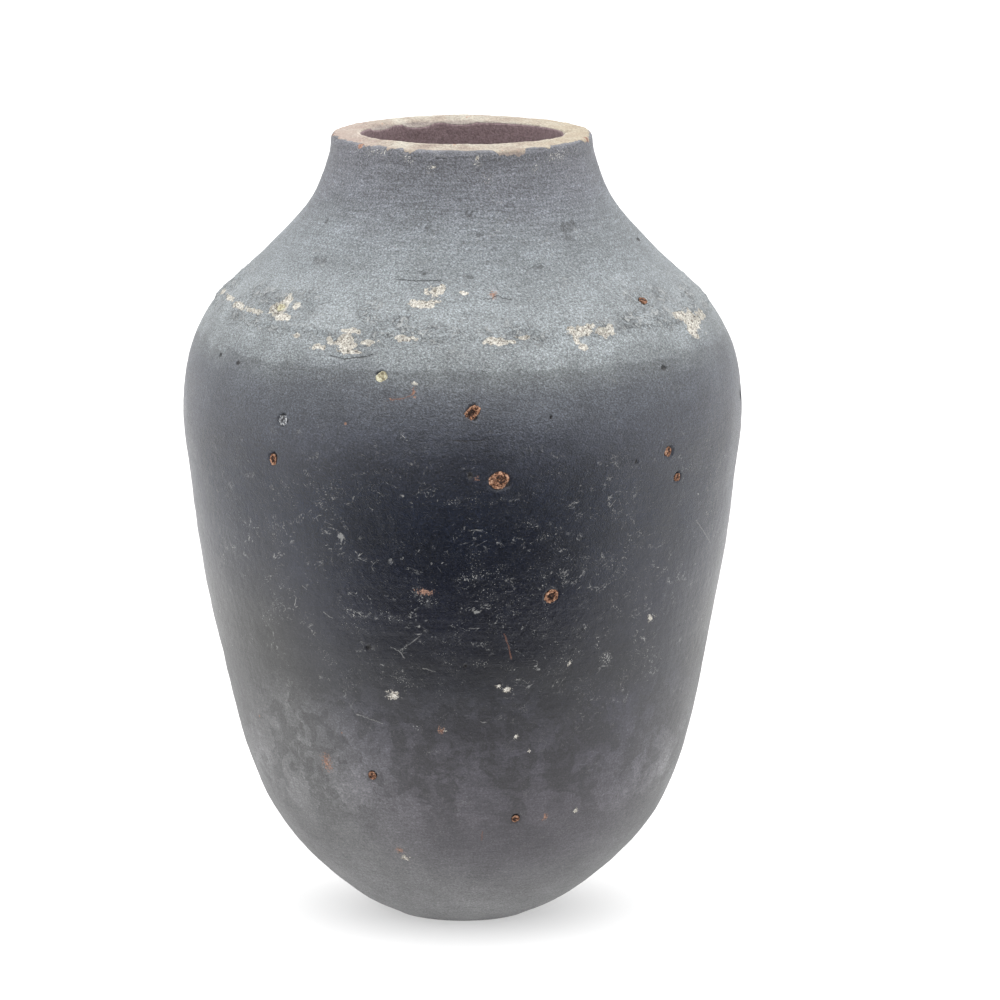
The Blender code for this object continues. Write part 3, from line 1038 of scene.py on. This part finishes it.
# Colours of the marks, and the shades that break up the clay, as (noise, brightness).
PALE_DUST = (0.29, 0.29, 0.28)
PALE_CHALK = (0.58, 0.56, 0.51)
IRON_ORANGE = (0.26, 0.125, 0.07)
SEAM_RIDGE_HIGHLIGHT = (0.40, 0.40, 0.385)
SEAM_GAP_SHADE = (0.040, 0.042, 0.046)
SOOT_AND_SHADE_BLACK = (0.016, 0.015, 0.016)
CRACK_BLACK = (0.014, 0.013, 0.014)
VEIN_BROWN = (0.13, 0.055, 0.035)
LIME_WEB = (0.86, 0.84, 0.78)
CLOUD_SHADES = ((0.30, 0.82), (0.50, 1.0), (0.70, 1.22))
STROKE_SHADES = ((0.36, 0.80), (0.64, 1.22))
FINE_SHADES = ((0.30, 0.84), (0.50, 1.0), (0.72, 1.24))
# Pepper and leather: painted shade in the hollows and painted highlight on the tops of the grain's
# relief.
PEPPER_SHADE_AND_HIGHLIGHT = ((0.30, 0.45), (0.44, 0.92), (0.56, 1.06), (0.70, 1.75))
LEATHER_SHADE_AND_HIGHLIGHT = ((0.36, 0.42), (0.47, 0.90), (0.54, 1.10), (0.66, 1.75))
INSIDE_SHADES = ((0.30, 0.80), (0.70, 1.2))
INSIDE_CLAY = ((0.30, (0.25, 0.175, 0.185)), (0.70, (0.35, 0.255, 0.265)))
RUST = ((0.35, (0.11, 0.055, 0.04)), (0.60, (0.34, 0.19, 0.13)))
LIME = (
    (0.37, (0.050, 0.042, 0.036)),
    (0.44, (0.26, 0.235, 0.20)),
    (0.53, (0.46, 0.43, 0.375)),
    (0.66, (0.70, 0.68, 0.62)),
)

# For each slot of grains: dark, middle and light colour, pore size in mm, and roughness.
GRAINS = {
    "burnt_grit": ((0.030, 0.014, 0.010), (0.25, 0.105, 0.052), (0.55, 0.34, 0.23), 0.9, 0.9),
    "lime": ((0.30, 0.26, 0.17), (0.55, 0.52, 0.36), (0.72, 0.71, 0.58), 1.0, 0.9),
    "quartz": ((0.05, 0.05, 0.055), (0.22, 0.23, 0.25), (0.60, 0.61, 0.62), 0.9, 0.4),
}
GRAIN_SHADES = ((0.3, 0.75), (0.7, 1.2))

# Colours of the lip's bare clay.
TAN = ((0.30, (0.29, 0.23, 0.19)), (0.48, (0.38, 0.325, 0.265)), (0.68, (0.48, 0.445, 0.375)))
TAN_SHADES = ((0.30, 0.66), (0.70, 1.25))
YELLOW_TAN = (0.40, 0.33, 0.22)
MAUVE_TAN = (0.37, 0.28, 0.25)
LOWER_LIP_TAN = (0.23, 0.19, 0.18)
PITTED_TAN = (0.10, 0.075, 0.065)
BURNT_TAN = (0.36, 0.15, 0.085)
CREST_HIGHLIGHT = (0.85, 0.80, 0.70)


def firing(tree, plain, height):
    """The clay's colour and roughness against height, clouded by uneven firing, with paler sides
    painted in as sheen.
    """
    broad = tree.noise(plain, 42, 3)
    cloud = tree.noise(plain, 17, 5, 0.62)
    wander = tree.scaled(tree.centred(broad), 20.0, height)
    wander = tree.scaled(tree.centred(cloud), 8.0, wander)
    share = tree.math("DIVIDE", wander, HEIGHT / MM)
    color = tree.ramp(share, [(at * MM / HEIGHT, value) for at, value in CLAY_COLORS])
    roughness = tree.ramp(share, [(at * MM / HEIGHT, value) for at, value in CLAY_ROUGHNESS], True)
    color = tree.shaded(color, cloud, CLOUD_SHADES)

    # Painted sheen: below the belly the sides and back are painted paler and greyer than the front.
    # This stands in for the reflection of the bright surroundings at the sides, and the front is left
    # dark.
    x, y, _ = tree.apart(plain)
    toward_front = tree.scaled(x, math.tan(DARK_FRONT_AZIMUTH), tree.product(y, -1.0))
    away = tree.product(tree.step(108, 50, toward_front), tree.step(215, 130, height))
    sheen_grey = tree.nodes.new("ShaderNodeRGBToBW")
    tree.links.new(color, sheen_grey.inputs[0])
    color = tree.mix(away, color, tree.times(SHEEN_SIDE_TINT, sheen_grey.outputs[0]))
    color = tree.times(color, tree.scaled(away, SHEEN_PAINTED_SIDES, 1.0))

    # The lower edge of the pale, less smoked shoulder.
    edge = tree.scaled(tree.centred(tree.noise(plain, 11, 5, 0.6)), 11.0, height)
    edge = tree.step(SMOKE_LINE - 0.8, SMOKE_LINE + 0.8, edge, 0.76, 1.06)
    return tree.times(color, edge), roughness


def grained(tree, color, height, fine):
    """The clay's grain: brushed strokes on the neck, pepper, and leather on the upper half. Pepper and
    leather are painted darker in the hollows and paler on the tops of their own relief, as painted
    shade and highlight.

    Returns the colour and the relief in mm.
    """
    brushed = tree.noise(tree.place((0.07, 0.07, 1.0)), 1.0, 4, 0.6)
    grit = tree.noise(tree.place(), 0.48, 2, 0.65)
    pebbles = tree.noise(tree.place((0.75, 0.75, 1.0), 0.15), 0.62, 2, 0.6, 0.4)
    upper = tree.step(140, 235, height)
    neck = tree.step(282, 306, height, 0.35, 1.0)
    color = tree.mix(neck, color, tree.shaded(color, brushed, STROKE_SHADES))
    color = tree.shaded(color, fine, FINE_SHADES)
    # Painted shade and highlight: the grit and pebble noises that raise the relief also darken its
    # hollows and brighten its tops.
    color = tree.mix(tree.scaled(upper, 0.30, 0.35), color, tree.shaded(color, grit, PEPPER_SHADE_AND_HIGHLIGHT))
    color = tree.mix(tree.scaled(upper, 0.45, 0.40), color, tree.shaded(color, pebbles, LEATHER_SHADE_AND_HIGHLIGHT))
    relief = tree.total(
        tree.product(grit, tree.scaled(upper, 0.10, 0.04)),
        tree.product(fine, 0.10),
        tree.product(pebbles, tree.scaled(upper, 0.26, 0.07)),
        tree.product(brushed, 0.10),
    )
    return color, relief


def dusty(tree, color, plain, height):
    """Clouds of dry dust on the lower body, and how much dust is where."""
    zone = tree.product(tree.step(45, 75, height), tree.step(130, 104, height))
    clouds = tree.step(0.490, 0.500, tree.noise(plain, 18, 8, 0.60, 0.4))
    wisps = tree.step(0.52, 0.54, tree.noise(plain, 8, 6, 0.62, 0.8))
    dust = tree.product(tree.scaled(wisps, 0.45, tree.product(clouds, 0.60)), zone)
    return tree.times(color, tree.scaled(dust, 0.85, 0.88)), dust


def scuffed(tree, color, plain, height):
    """Fine pale dots and winding hairlines, gathered in clusters on the middle of the body."""
    zone = tree.product(tree.step(92, 128, height), tree.step(236, 195, height))
    zone = tree.scaled(zone, 0.8, 0.2)
    clusters = tree.product(tree.step(0.47, 0.68, tree.noise(plain, 15, 5, 0.66)), zone)
    clusters = tree.highest(clusters, tree.product(tree.mask("scuff"), 1.6))
    chalk = tree.mix(tree.step(225, 260, height), PALE_DUST, PALE_CHALK)

    spread = tree.product(zone, tree.step(0.47, 0.60, tree.noise(plain, 14, 3)))
    broken = tree.step(0.51, 0.60, tree.noise(plain, 4.0, 4, 0.72))
    for size, slope in HAIRLINES:
        winding = tree.noise(tree.place((0.6, 0.6, 1.0), slope), size, 4, 0.6, 0.8)
        line = tree.step(0.010, 0.003, tree.size_of(tree.centred(winding)))
        line = tree.product(tree.product(line, broken), spread)
        color = tree.painted(color, chalk, line, 0.60)

    dots = tree.step(0.68, 0.72, tree.scaled(clusters, 0.055, tree.noise(plain, 0.55, 2, 0.6)))
    color = tree.mix(tree.product(dots, tree.scaled(clusters, 0.60, 0.22)), color, chalk)
    haze = tree.product(clusters, tree.step(0.45, 0.7, tree.noise(plain, 2.6, 4, 0.7)))
    return tree.painted(color, chalk, haze, 0.05)


def iron_specks(tree, color, plain):
    """Tiny orange specks of burnt iron in about a fifth of the cells."""
    distance, own = tree.cells(plain, 12)
    specks = tree.product(tree.step(0.070, 0.045, distance), tree.step(0.80, 0.84, own))
    return tree.painted(color, IRON_ORANGE, specks, 0.7)


def crumbly_seam(tree, color, plain, crumbs):
    """Crumbs of clay round the collar's seam, with painted highlights on their raised edges and painted
    shade in the gaps between them.
    """
    rough = tree.mask("rough")
    clumped = tree.product(rough, tree.step(0.42, 0.54, tree.noise(plain, 7, 4, 0.65)))
    from_edge = tree.centred(tree.noise(plain, 4.4, 2, 0.55, 1.2))
    off_ridge = tree.size_of(tree.math("SUBTRACT", from_edge, 0.075))
    ridge_highlight = tree.product(clumped, tree.step(0.055, 0.015, off_ridge))
    gaps = tree.product(clumped, tree.step(0.045, 0.012, tree.size_of(from_edge)))
    # Painted highlight on the crumbs' raised edges, and painted shade in the gaps at their foot.
    color = tree.painted(color, SEAM_RIDGE_HIGHLIGHT, ridge_highlight, 0.45)
    color = tree.painted(color, SEAM_GAP_SHADE, gaps, 0.70)
    relief = tree.total(
        tree.product(tree.product(crumbs, rough), 1.2),
        tree.product(clumped, tree.product(tree.step(-0.01, 0.03, from_edge), 0.45)),
    )
    return color, relief


def lime_color(tree, plain, pores):
    """Porous cream lime with a paler web of ridges."""
    web = tree.noise(plain, 1.7, 4, 0.6, 0.8)
    web = tree.step(0.030, 0.012, tree.size_of(tree.centred(web)))
    return tree.painted(tree.ramp(pores, LIME), LIME_WEB, web, 0.8)


def lip_color(tree, plain, fine):
    """Bare clay of the lip: mauve-tan on one side and yellower on the other, with a painted highlight
    along the inner crest.
    """
    x, y, z = tree.apart(plain)
    tan = tree.ramp(tree.noise(plain, 9, 3), TAN)
    tan = tree.painted(tan, YELLOW_TAN, tree.step(10, 50, x), 0.5)
    tan = tree.painted(tan, MAUVE_TAN, tree.step(-25, -52, x), 0.55)
    # Darker below the lip's flat top.
    tan = tree.painted(tan, LOWER_LIP_TAN, tree.step(337.4, 336.0, z), 0.75)
    tan = tree.shaded(tan, fine, TAN_SHADES)
    pitted = tree.step(0.40, 0.32, tree.noise(plain, 0.8, 3, 0.6))
    tan = tree.painted(tan, PITTED_TAN, pitted, 0.55)
    blush = tree.step(0.66, 0.74, tree.noise(plain, 4.5, 3))
    tan = tree.painted(tan, BURNT_TAN, blush, 0.6)
    # Painted highlight: a pale line along the inner crest, strongest at the front and broken up by
    # noise.
    chipped = tree.step(0.34, 0.50, tree.noise(plain, 2.4, 4, 0.7))
    nearest = tree.step(12, -16, y, 0.15, 1.0)
    crest = tree.product(tree.product(tree.mask("crest"), chipped), nearest)
    return tree.painted(tan, CREST_HIGHLIGHT, crest, 0.85)


def thin_line(tree, kind, fray, half_width):
    """A thin broken line along a kind's signed distance."""
    frayed = tree.centred(fray)
    wander = tree.scaled(frayed, 2.0, tree.mask(kind + "_off"))
    width = tree.scaled(frayed, 0.6 * half_width, half_width)
    line = tree.step(-0.12, 0.12, tree.math("SUBTRACT", width, tree.size_of(wander)))
    present = tree.scaled(frayed, 1.8, tree.mask(kind + "_share"))
    return tree.product(line, tree.step(0.55, 0.85, present))


def make_clay():
    """The jar's smoke-fired skin, with its lime, rust, stains, bare lip and inside; the stains' black
    is also painted into pits and round the grains as shade.
    """
    tree = Tree(bpy.data.materials.new("fired_clay"))
    plain = tree.place()
    height = tree.apart(plain)[2]
    fine = tree.noise(plain, 1.0, 3, 0.6)
    fray = tree.noise(plain, 1.3, 4, 0.7)
    fine_fray = tree.noise(plain, 0.7, 3, 0.7)
    crumbs = tree.noise(plain, 2.0, 5, 0.68)
    pores = tree.noise(plain, 1.0, 5, 0.72)

    color, roughness = firing(tree, plain, height)
    color, grain = grained(tree, color, height, fine)
    color, dust = dusty(tree, color, plain, height)
    color = scuffed(tree, color, plain, height)
    color = iron_specks(tree, color, plain)
    color, seam = crumbly_seam(tree, color, plain, crumbs)

    # The dark mask holds smoke stains, and painted shade in the pits and round the grains.
    dark = tree.ragged(tree.mask("dark"), fray, 0.12, 0.5)
    color = tree.painted(color, SOOT_AND_SHADE_BLACK, dark, 0.85)
    inside = tree.mask("inside")
    color = tree.mix(inside, color, tree.shaded(tree.ramp(crumbs, INSIDE_CLAY), fine, INSIDE_SHADES))
    bare = tree.ragged(tree.mask("bare"), fray, 0.08, 0.7)
    color = tree.mix(bare, color, lip_color(tree, plain, fine))
    lime_fray = tree.scaled(fine_fray, 0.5, tree.product(fray, 0.5))
    lime = tree.ragged(tree.mask("lime"), lime_fray, 0.06, 1.25)
    color = tree.mix(lime, color, lime_color(tree, plain, pores))
    rust = tree.ragged(tree.mask("rust"), fine_fray, 0.10, 1.3)
    color = tree.mix(rust, color, tree.ramp(fine, RUST))

    crack = thin_line(tree, "crack", fray, 0.17)
    color = tree.painted(color, CRACK_BLACK, crack, 0.88)
    color = tree.painted(color, VEIN_BROWN, thin_line(tree, "vein", fray, 0.26), 0.75)
    color = tree.painted(color, PALE_DUST, thin_line(tree, "scratch", fray, 0.12), 0.55)

    chalky = tree.highest(tree.highest(lime, bare), tree.highest(rust, inside))
    roughness = tree.scaled(tree.centred(fine), 0.20, roughness)
    roughness = tree.scaled(dust, 0.12, roughness)
    roughness = tree.blend(chalky, roughness, CHALK_ROUGHNESS)

    tree.bump(tree.total(
        grain,
        seam,
        tree.product(tree.noise(plain, 3.2, 2), 0.16),
        tree.product(tree.product(pores, tree.highest(lime, bare)), 0.9),
        tree.product(tree.highest(lime, dark), -0.25),
        tree.product(crack, -0.3),
    ))
    tree.set(Base_Color=color, Roughness=roughness, Specular_IOR_Level=SHEEN_LEVEL)
    return tree.owner


def make_grain_material(name, dark, middle, light, size, roughness):
    """Porous mineral: three colours in pores of the given size in mm, paler at the rim, and painted
    darker in a hollow middle as shade.
    """
    tree = Tree(bpy.data.materials.new(name))
    plain = tree.place()
    pores = tree.noise(plain, size, 4, 0.7)
    shade = tree.noise(plain, size * 2.5, 3)
    rim = tree.step(0.62, 0.92, tree.scaled(tree.centred(shade), 1.1, tree.mask("rim")))
    # Painted shade: the middle of a hollowed grain is darkened.
    hollow_shade = tree.product(tree.mask("hollow"), tree.step(0.62, 0.38, tree.mask("rim")))
    lifted = tree.scaled(hollow_shade, -0.13, tree.scaled(rim, 0.06, pores))
    color = tree.ramp(lifted, ((0.45, dark), (0.52, middle), (0.68, light)))
    tree.set(Base_Color=tree.shaded(color, shade, GRAIN_SHADES), Roughness=roughness)
    tree.bump(pores)
    return tree.owner


# ---------------------------------------------------------------- mineral grains
def grain_nodes():
    """CAD nodes of the grains, with their slots."""
    sections = {name for name, _, _ in SECTIONS}
    rows = [(row["node"], row["material_slot"]) for row in frame["record"]["subparts"]]
    return [row for row in rows if row[0] not in sections]


def grain_place(node):
    """A CAD grain's azimuth, outside height, half width and half height, and its own axes."""
    low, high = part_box(node)
    centre = (Vector(low) + Vector(high)) / 2
    azimuth = math.atan2(centre.x, -centre.y)
    corners = np.array([corner.co for corner in frame["nodes"][node].data.vertices])
    around = np.array([math.cos(azimuth), math.sin(azimuth), 0.0])
    outward = np.array([math.sin(azimuth), -math.cos(azimuth), 0.0])
    half_width = np.ptp(corners @ around) / 2
    gap = np.hypot(OUTER[:, 0] - np.hypot(centre.x, centre.y), OUTER[:, 1] - centre.z)
    nearest = int(np.argmin(gap))
    normal = Vector(outward * RUN[nearest, 1]) + Vector((0, 0, -RUN[nearest, 0]))
    up = normal.cross(Vector(around))
    half_height = np.ptp(corners @ np.array(up)) / 2
    return azimuth, OUTER[nearest, 1], half_width, half_height, Vector(around), up, normal


def make_grain(node, material, skin, seed):
    """A pitted, irregular pebble in place of a CAD grain, its worn face level with the skin."""
    azimuth, height, half_width, half_height, around, up, normal = grain_place(node)
    top_lean, hollow, size = STONE_SHAPES.get(node, PLAIN_STONE)
    half_depth = 0.55 * min(half_width, half_height)
    build = bmesh.new()
    bmesh.ops.create_icosphere(build, subdivisions=6, radius=1.0)
    mesh = bpy.data.meshes.new(node + "_stone")
    build.to_mesh(mesh)
    build.free()
    points = np.array([corner.co for corner in mesh.vertices])
    shape = 1 + 0.24 * noise(points, 0.9, seed) + 0.14 * noise(points, 0.4, seed + 1)
    pores = np.minimum(rough_noise(points, 0.28, seed + 2), 0.05)
    from_middle = np.hypot(points[:, 0], points[:, 1])
    points = points * shape[:, None]
    face = smooth_step(0.0, 0.3, points[:, 2])
    points[:, 2] *= np.where(points[:, 2] > 0, FACE_FLATNESS, 1.0)
    points[:, 2] += face * (0.55 * pores - 0.5 * hollow * (1 - smooth_step(0.35, 0.75, from_middle)))
    points[:, 0] += top_lean * points[:, 1]
    points *= np.array([size * half_width, size * half_height, half_depth])
    mesh.vertices.foreach_set("co", points.ravel())
    store(mesh, "rim", from_middle)
    store(mesh, "hollow", np.full(len(points), hollow))
    mesh.shade_smooth()
    mesh.materials.append(material)
    row = OUTSIDE.start + int(np.argmin(np.abs(ROWS[OUTSIDE, 1] - height)))
    column = round(azimuth / (2 * math.pi) * COLUMNS) % COLUMNS
    seat = Vector(skin[row, column]) - normal * SETTLED_DEPTH
    turn = Matrix((around, up, normal)).transposed().to_4x4()
    mesh.transform(Matrix.Translation(seat) @ turn)
    stand_for(node, bpy.data.objects.new(node + "_stone", mesh))


# ---------------------------------------------------------------- studio
CAMERA_DISTANCE = 3.2
CAMERA_ELEVATION = math.radians(11.0)
CAMERA_TARGET = Vector((0.0, 0.0, 175 * MM))
CAMERA_LENS = 268.0
CAMERA_SHIFT = (0.0375, 0.0085)

# Radiance of the light dome at its sides and overhead, and its share straight in front.
DOME_SIDE = 0.85
DOME_TOP = 2.8
DOME_FRONT = 0.05
FLOOR_RADIUS = 30.0
FLOOR_GLOW = 0.45           # how strongly the light table shines
FLOOR_GREY = (0.5, 0.5, 0.5, 1.0)
WHITE = (1.0, 1.0, 1.0, 1.0)
BLACK = (0.0, 0.0, 0.0, 1.0)
FLAG_WIDTH = 0.9
FLAG_SIDEWAYS = 0.04        # how far the flag stands to the right of the jar's middle
FLAG_LINE = ((-0.24, 0.002), (-0.42, 0.002), (-0.42, 0.27))     # (Y, Z) from its foot to its top


def make_camera():
    """A long lens a little above the shoulder, with the jar left of the middle."""
    camera = bpy.data.objects.new("camera", bpy.data.cameras.new("camera"))
    back = Vector((0.0, -math.cos(CAMERA_ELEVATION), math.sin(CAMERA_ELEVATION)))
    camera.location = CAMERA_TARGET + back * CAMERA_DISTANCE
    camera.rotation_euler = back.to_track_quat("Z", "Y").to_euler()
    camera.data.lens = CAMERA_LENS
    camera.data.shift_x, camera.data.shift_y = CAMERA_SHIFT
    camera.data.clip_end = 50.0
    bpy.context.scene.collection.objects.link(camera)
    bpy.context.scene.camera = camera


def make_floor():
    """A plain white light table, wide enough to fill every view."""
    mesh = bpy.data.meshes.new("floor")
    build = bmesh.new()
    bmesh.ops.create_circle(build, cap_ends=True, segments=64, radius=FLOOR_RADIUS)
    build.to_mesh(mesh)
    build.free()
    tree = Tree(bpy.data.materials.new("floor_table"))
    tree.set(Base_Color=FLOOR_GREY, Roughness=0.9, Specular_IOR_Level=0.0)
    tree.set(Emission_Color=WHITE, Emission_Strength=FLOOR_GLOW)
    mesh.materials.append(tree.owner)
    floor = bpy.data.objects.new("floor", mesh)
    bpy.context.scene.collection.objects.link(floor)


def make_flag():
    """A black flag in front, seen only in the jar's sheen."""
    mesh = bpy.data.meshes.new("flag")
    corners = [(side * FLAG_WIDTH / 2, y, z) for y, z in FLAG_LINE for side in (-1, 1)]
    mesh.from_pydata(corners, [], [(0, 1, 3, 2), (2, 3, 5, 4)])
    tree = Tree(bpy.data.materials.new("flag_cloth"))
    tree.set(Base_Color=BLACK, Specular_IOR_Level=0.0)
    mesh.materials.append(tree.owner)
    flag = bpy.data.objects.new("flag", mesh)
    flag.location.x = FLAG_SIDEWAYS
    for ray in ("camera", "diffuse", "transmission", "shadow"):
        setattr(flag, "visible_" + ray, False)
    bpy.context.scene.collection.objects.link(flag)


def make_world():
    """White for the camera; for light, a dome brightest overhead and dark straight in front."""
    world = bpy.data.worlds.new("studio")
    bpy.context.scene.world = world
    tree = Tree(world, "Background")
    world.cycles.sampling_method = "NONE"
    _, y, z = tree.apart(tree.nodes.new("ShaderNodeTexCoord").outputs["Generated"])
    climb = tree.step(0.1, 0.9, z, DOME_SIDE, DOME_TOP)
    front = tree.step(-0.95, -0.40, tree.scaled(z, 1.2, y), DOME_FRONT, 1.0)
    to_camera = tree.nodes.new("ShaderNodeLightPath").outputs["Is Camera Ray"]
    tree.set(Color=WHITE, Strength=tree.blend(to_camera, tree.product(climb, front), 1.0))


def make_studio():
    """Camera, floor, flag and light."""
    make_camera()
    make_floor()
    make_flag()
    make_world()
    bpy.context.scene.view_settings.view_transform = "Standard"


# ---------------------------------------------------------------- build
def build_jar():
    """Press every mark into the grid, then make the sections and the grains.

    The grains are seated on the grid as it is before their beds and the lip's wear are pressed.
    """
    grains = grain_nodes()
    places = [grain_place(node) for node, _ in grains]
    beds = [(math.degrees(place[0]), *place[1:4]) for place in places]
    MASKS["inside"][LIP.stop - INSIDE_OVERLAP:] = 1.0
    press_making_marks()
    press_seam()
    press_stains()
    press_lime_patches()
    press_flecks()
    press_scuffs()
    press_pits()
    press_lines()
    unbroken = settled_grid()
    press_grain_beds(beds)
    press_lip()
    points = settled_grid()
    normals = normals_of(points)
    clay = make_clay()
    for name, slot, _ in SECTIONS:
        make_section(name, points, normals, clay)
    stones = {slot: make_grain_material(slot, *looks) for slot, looks in GRAINS.items()}
    for index, (node, slot) in enumerate(grains):
        make_grain(node, stones[slot], unbroken, 900 + 10 * index)


build_jar()
make_studio()
